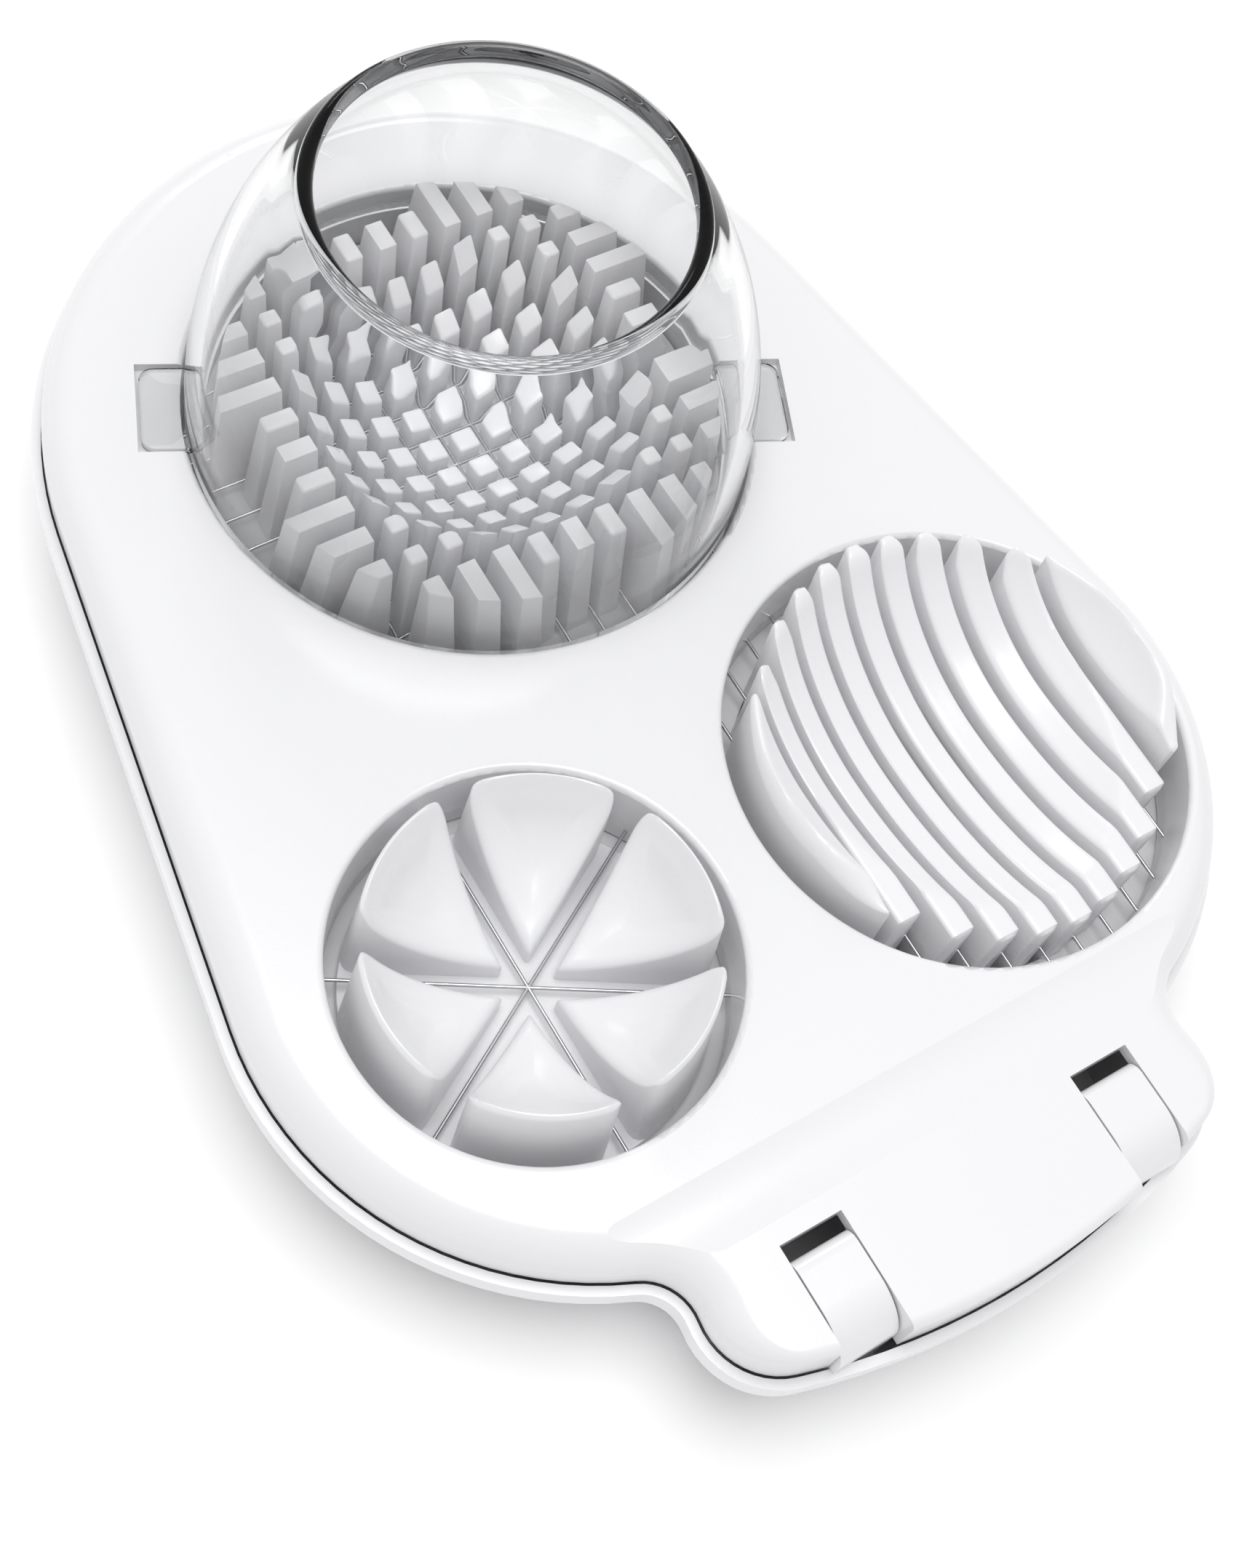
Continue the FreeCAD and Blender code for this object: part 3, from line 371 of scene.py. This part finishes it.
# ------------------------------------------------------------------ wedger cradle
PETAL_RADIUS = 23.2
PETAL_TOP = 34.5
HALF_GROOVE = 1.8
PETAL_DRAFT = 0.06  # how much narrower a petal's outer wall is at its top, as a share
PETAL_EDGE = 1.4
PETAL_HEART = Vector((14.5, 0.0))  # point that the rings of a petal's top close in on
HOLLOW_DEPTH = 0.9  # extra hollow inside a petal's rim
WEDGER_SHELF = 27.6
WEDGER_DISH = 23.0
WEDGER_DISH_LOW = 20.2
# rings of a petal's top, closer together where its rim is rounded
PETAL_RINGS = (
    1.0, 0.995, 0.985, 0.97, 0.952, 0.93, 0.905, 0.88, 0.85,
    0.82, 0.79, 0.75, 0.7, 0.62, 0.5, 0.36, 0.2, 0.08,
)


def offset_curve(distance, radius):
    """How far an edge rounded with a radius drops at a distance inside it."""
    if distance >= radius:
        return 0.0
    return radius - math.sqrt(max(radius**2 - (radius - max(distance, 0.0)) ** 2, 0.0))


def smooth(t):
    """Ease from 0 to 1 as t goes from 0 to 1."""
    t = min(max(t, 0.0), 1.0)
    return t * t * (3 - 2 * t)


def petal_outline(corner=2.4, steps=14):
    """Plan of a petal that points along +X: two groove lines, an arc and rounded corners."""
    lean = math.radians(30)
    hub = HALF_GROOVE / math.sin(lean)
    inner = Vector((hub, 0))
    reach = lean - math.asin(HALF_GROOVE / PETAL_RADIUS)
    side = []
    tip_half = 0.35
    for sign in (-1, 1):
        far = Vector((math.cos(reach), sign * math.sin(reach))) * PETAL_RADIUS
        side.append((Vector((hub + 0.6, sign * tip_half)), far))
    arc = [Vector((math.cos(a), math.sin(a))) * PETAL_RADIUS
           for a in [(-1 + 2 * i / 24) * (reach - corner / PETAL_RADIUS) for i in range(25)]]
    points = []
    low_tip, low_far = side[0]
    high_tip, high_far = side[1]
    along = (low_far - low_tip).length
    for i in range(28):
        points.append(low_tip + (low_far - low_tip) * (i / 27) * (1 - corner / along))
    start, end = points[-1], arc[0]
    for i in range(1, steps):
        t = i / steps
        points.append(start * (1 - t) ** 2 + low_far * 2 * t * (1 - t) + end * t**2)
    points += arc
    start, end = arc[-1], high_far + (high_tip - high_far) * (corner / along)
    for i in range(1, steps):
        t = i / steps
        points.append(start * (1 - t) ** 2 + high_far * 2 * t * (1 - t) + end * t**2)
    for i in range(28):
        points.append(end + (high_tip - end) * (i / 27))
    for i in range(1, 4):
        t = i / 4
        points.append(high_tip * (1 - t) ** 2 + inner * 2 * t * (1 - t) + low_tip * t**2)
    return points


def distance_to(point, outline):
    """Shortest way from a point to a closed outline."""
    best = 1e9
    for i, a in enumerate(outline):
        b = outline[(i + 1) % len(outline)]
        line = b - a
        if line.length_squared < 1e-12:
            continue
        t = min(max((point - a).dot(line) / line.length_squared, 0.0), 1.0)
        best = min(best, (point - a - line * t).length)
    return best


def petal_top(p):
    """Height of the wedger's dish at a point, up to the petals' level rims."""
    reach = min(p.length, WEDGER_DISH - 0.1)
    return min(WEDGER_DISH_LOW + WEDGER_DISH - math.sqrt(WEDGER_DISH**2 - reach**2), PETAL_TOP)


def wedger_cradle():
    """Round floor on a skirt, with six petals."""
    shape = Shape()
    profile = [(PETAL_RADIUS, SLOT_FLOOR), (PETAL_RADIUS, SHELF_TOP), *skirt_profile(WEDGER_SHELF, PETAL_RADIUS)]
    turned(shape, WEDGER, rounded_corners(profile, 0.5) + [(AXIS, BELOW), (AXIS, SLOT_FLOOR)])
    outline = petal_outline()
    rings = [[(p, SLOT_FLOOR - SUNK) for p in outline]]
    for k in PETAL_RINGS:
        ring = []
        for p in outline:
            q = PETAL_HEART + (p - PETAL_HEART) * k
            d = 0.0 if k == 1.0 else distance_to(q, outline)
            q = q * (1 - PETAL_DRAFT * smooth((q.length - 8) / 15))
            hollow = HOLLOW_DEPTH * smooth((d - 2.2) / 2.4) * smooth((q.length - 9) / 6)
            z = petal_top(q) - offset_curve(d, PETAL_EDGE) - hollow
            ring.append((q, max(z, SLOT_FLOOR + 0.4)))
        rings.append(ring)
    for number in range(6):
        turn = Matrix.Rotation(math.radians(60 * number), 2)
        points = []
        for ring in rings:
            points.append([(*(turn @ p + WEDGER.xy), z) for p, z in ring])
        shape.loops(points, close_high=True)
    return shape.piece("wedger_cradle_petals", "base", "wedger_cradle", CRADLE_WHITE)


# ------------------------------------------------------------------ slicer cradle
RIB_RADIUS = 28.8
RIB_NEAR_RADIUS = 28.0  # rib ends next to the hinge
RIB_TOP = 34.0
RIB_NEAR_TOP = 27.6
RIB_EDGE = 0.55
RIB_PINCH = 0.8  # how far each side of a rib draws in at its far tip
DISH_X, DISH_FAR, DISH_NEAR, DISH_Z = 30.8, 27.2, 37.0, 24.0
DISH_SHIFT = 2.2  # how far the dish is off centre towards the free end
CAP_EDGE = 22.5  # the outermost wires, where the side caps begin
CAP_DROP = 3.5  # how much lower a cap is at its end next to the hinge
CAP_FAR, RIGHT_CAP_NEAR, LEFT_CAP_NEAR = 15.8, -14.9, -16.4
RIGHT_CAP_EDGE, LEFT_CAP_EDGE = 1.2, 4.5
SLICER_SHELF = 33.6
SHELF_OVERLAP = 1.3  # how far the shelf reaches in under the ribs
SLICER_DISH_LOW = 20.8
RIB_WIRES = 10


def slicer_top(x, y):
    """Height of the ribs at a point, from the slicer's centre."""
    v = y - DISH_SHIFT
    inside = 1 - (x / DISH_X) ** 2 - (v / (DISH_FAR if v > 0 else DISH_NEAR)) ** 2
    dish = 99.0 if inside <= 0 else SLICER_DISH_LOW + DISH_Z * (1 - math.sqrt(inside))
    if abs(x) > CAP_EDGE:
        return min(dish, RIB_TOP - CAP_DROP * smooth((-y - 5) / 11))
    return min(dish, RIB_NEAR_TOP if v < 0 else RIB_TOP)


def softened_top(x, y):
    """The same, averaged over a short way along the rib so that its steps are rounded."""
    offsets = (-0.9, -0.45, 0.0, 0.45, 0.9)
    return sum(slicer_top(x, y + d) for d in offsets) / len(offsets)


def strip(shape, x_low, x_high, y0, y1, pinch_by=0.0, across=10, along=84, edges=(RIB_EDGE, RIB_EDGE)):
    """A rib along Y between two sides, which are functions of y, from y0 to y1.

    The two edges are the roundings along its low and high side.
    """
    rings = []
    for k in range(along + 1):
        t = k / along
        s = (1 - math.cos(math.pi * t)) / 2 * 0.35 + t * 0.65
        y = y0 + (y1 - y0) * s
        end = min(y - y0, y1 - y)
        tuck = offset_curve(end, RIB_EDGE)
        pinch = pinch_by * (1 - smooth((y1 - y) / 2.6))
        a, b = x_low(y) + tuck + pinch, x_high(y) - tuck - pinch
        if b - a < 0.1:
            a, b = (a + b) / 2 - 0.05, (a + b) / 2 + 0.05
        ring = [(a, y, BELOW)]
        width = b - a
        for i in range(across + 1):
            u = i / across
            s = (1 - math.cos(math.pi * u)) / 2
            x = a + width * s
            drop_low = offset_curve(x - a, min(edges[0], width * 0.6))
            drop_high = offset_curve(b - x, min(edges[1], width * 0.6))
            z = softened_top(x, y) - max(drop_low, drop_high) - tuck
            ring.append((x, y, max(z, BELOW + 0.2)))
        ring.append((b, y, BELOW))
        rings.append([(p[0] + SLICER.x, p[1] + SLICER.y, p[2]) for p in ring])
    shape.loops(rings, close_low=True, close_high=True)


def chord(x, radius):
    """Half length of a circle's chord at a distance from its centre."""
    return math.sqrt(max(radius**2 - x * x, 0.0))


def slicer_cradle():
    """Shelf ring on a skirt, with nine ribs between two side caps."""
    shape = Shape()
    inner = RIB_RADIUS - SHELF_OVERLAP
    skirt = [(inner, SHELF_TOP), *skirt_profile(SLICER_SHELF, RIB_RADIUS), (inner, BELOW)]
    turned(shape, SLICER, rounded_corners(skirt, 0.3))
    half = (PITCH - GAP) / 2
    for number in range(RIB_WIRES - 1):
        x = (number - (RIB_WIRES - 2) / 2) * PITCH
        far, near = chord(abs(x) + half, RIB_RADIUS), chord(abs(x) + half, RIB_NEAR_RADIUS)
        strip(shape, lambda y, x=x: x - half, lambda y, x=x: x + half, -near, far, pinch_by=RIB_PINCH)
    edge_x = (RIB_WIRES - 1) / 2 * PITCH + HALF_GAP
    strip(shape, lambda y: edge_x, lambda y: chord(y, RIB_RADIUS), RIGHT_CAP_NEAR, CAP_FAR,
          across=24, edges=(RIB_EDGE, RIGHT_CAP_EDGE))
    strip(shape, lambda y: -chord(y, RIB_RADIUS), lambda y: -edge_x, LEFT_CAP_NEAR, CAP_FAR,
          across=24, edges=(LEFT_CAP_EDGE, RIB_EDGE))
    return shape.piece("slicer_cradle_ribs", "base", "slicer_cradle", CRADLE_WHITE)


# -------------------------------------------------------------------- clear guard
GUARD_RADIUS = 37.7  # outside, at the frame's top
GUARD_DOME = 53.0  # half height of the whole dome
GUARD_WALL = 2.0
LIP = 1.1
TAB_ANGLE = 156.5
TAB_REACH = 43.4


def guard_radius(z, shrink=0.0):
    """Radius of the dome at a height, or of the same dome made smaller all round."""
    rise = (z - FRAME_TOP) / (GUARD_DOME - shrink)
    return (GUARD_RADIUS - shrink) * math.sqrt(max(1 - rise * rise, 0.0))


def guard_tab(shape, turn):
    """Flat tab with rounded corners that reaches out from the guard's wall."""
    half, corner, steps = 6.5, 2.0, 6
    inner, outer = GUARD_RADIUS - 1.2, TAB_REACH
    plan = [(inner, -half)]
    for side in (-1, 1):
        for k in range(steps + 1):
            angle = math.radians(90 * (k / steps if side > 0 else k / steps - 1))
            x = outer - corner + corner * math.cos(angle)
            plan.append((x, side * (half - corner) + corner * math.sin(angle)))
    plan.append((inner, half))
    low, high = FRAME_TOP - 1.35, FRAME_TOP - 0.05
    levels = [(low, 0.3), (low + 0.3, 0.0), (high - 0.4, 0.0), (high - 0.1, 0.12), (high, 0.4)]
    middle = Vector(((inner + outer) / 2, 0.0))
    spin = Matrix.Rotation(math.radians(turn), 2)
    rings = []
    for z, inset in levels:
        ring = []
        for p in plan:
            p = Vector(p)
            p = p + (middle - p).normalized() * inset
            q = spin @ p
            ring.append((DICER.x + q.x, DICER.y + q.y, z))
        rings.append(ring)
    shape.loops(rings, close_low=True, close_high=True)


def clear_guard():
    """Dome with a rounded lip and two tabs, opposite each other."""
    shape = Shape()
    top = GUARD_TOP - LIP
    steps = 26
    levels = [GUARD_LOW + (top - GUARD_LOW) * i / steps for i in range(steps + 1)]
    outer = [(guard_radius(z), z) for z in levels]
    inner = [(guard_radius(z, GUARD_WALL), z) for z in levels]
    ring = guard_radius(top) - GUARD_WALL / 2
    lip = []
    for i in range(17):
        angle = math.radians(-35 + 250 * i / 16)
        lip.append((ring + LIP * math.cos(angle), top + LIP * math.sin(angle)))
    profile = outer[:-2] + lip + inner[:-2][::-1]
    turned(shape, Vector((DICER.x, DICER.y, 0)), profile, steps=160)
    for turn in (TAB_ANGLE, TAB_ANGLE - 180):
        guard_tab(shape, turn)
    return shape.piece("guard_dome", "guard", "clear_guard", CLEAR)


dicer_cradle()
wedger_cradle()
slicer_cradle()
clear_guard()


# ------------------------------------------------------- materials of the CAD nodes
def paint(node, material):
    """Give a CAD node a new material in place of its own."""
    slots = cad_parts[node].data.materials
    slots.clear()
    slots.append(material)


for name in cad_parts:
    if "wires" in name or "_wire_" in name and "ring" not in name:
        paint(name, WIRE)
    elif name.startswith("hinge_pin") or name == "cradle_screws":
        paint(name, STEEL)
    elif name.startswith("rubber_foot"):
        paint(name, RUBBER)
    elif name.endswith("wire_ring"):
        paint(name, RING_WHITE)
    elif name == "clear_guard":
        paint(name, CLEAR)
    elif name.endswith("cradle"):
        paint(name, CRADLE_WHITE)
    else:
        paint(name, SHELL_WHITE)


# ------------------------------------------------------------------------- studio
def studio_floor():
    """Plain pale floor, which belongs to the stage and not to the object."""
    mesh = bpy.data.meshes.new("floor")
    bm = bmesh.new()
    bmesh.ops.create_grid(bm, x_segments=8, y_segments=8, size=3.0)
    bm.to_mesh(mesh)
    bm.free()
    floor = bpy.data.objects.new("floor", mesh)
    bpy.context.scene.collection.objects.link(floor)
    material, _, shader, _ = new_material("pale_floor")
    shader.inputs["Base Color"].default_value = (0.97, 0.97, 0.972, 1.0)
    shader.inputs["Roughness"].default_value = 0.6
    mesh.materials.append(material)


def soft_light(name, place, target, size, power):
    """Round area light at a place, turned to a target; metres and watts."""
    lamp = bpy.data.lights.new(name, "AREA")
    lamp.shape = "DISK"
    lamp.size = size
    lamp.energy = power
    item = bpy.data.objects.new(name, lamp)
    item.location = place
    item.rotation_euler = (Vector(target) - Vector(place)).to_track_quat("-Z", "Y").to_euler()
    bpy.context.scene.collection.objects.link(item)


studio_floor()
LIT_POINT = (0, 0, 0.02)
soft_light("key", (-0.05, 0.0, 1.05), LIT_POINT, size=0.7, power=4.9)
soft_light("rim", (0.35, 0.85, 0.55), LIT_POINT, size=0.35, power=1.0)

world = bpy.data.worlds.new("studio")
world.use_nodes = True
background = world.node_tree.nodes["Background"]
background.inputs["Color"].default_value = (1.0, 1.0, 1.0, 1.0)
background.inputs["Strength"].default_value = 0.66
bpy.context.scene.world = world
bpy.context.scene.view_settings.view_transform = "Standard"

# camera at the viewing angle, with the long side of the picture 36 mm
lens = bpy.data.cameras.new("camera")
lens.lens = 51.18
lens.sensor_width = 36.0
camera = bpy.data.objects.new("camera", lens)
bpy.context.scene.collection.objects.link(camera)
aim = Vector((-0.01078, -0.01959, 0.028))
azimuth, elevation, roll = math.radians(49.73), math.radians(61.556), math.radians(20.59)
level = math.cos(elevation)
ahead = Vector((math.sin(azimuth) * level, math.cos(azimuth) * level, -math.sin(elevation)))
distance = 0.27586
camera.location = aim - ahead * distance
camera.rotation_mode = "QUATERNION"
camera.rotation_quaternion = ahead.to_track_quat("-Z", "Y") @ Matrix.Rotation(roll, 3, "Z").to_quaternion()
lens.clip_start = 0.01
bpy.context.scene.camera = camera
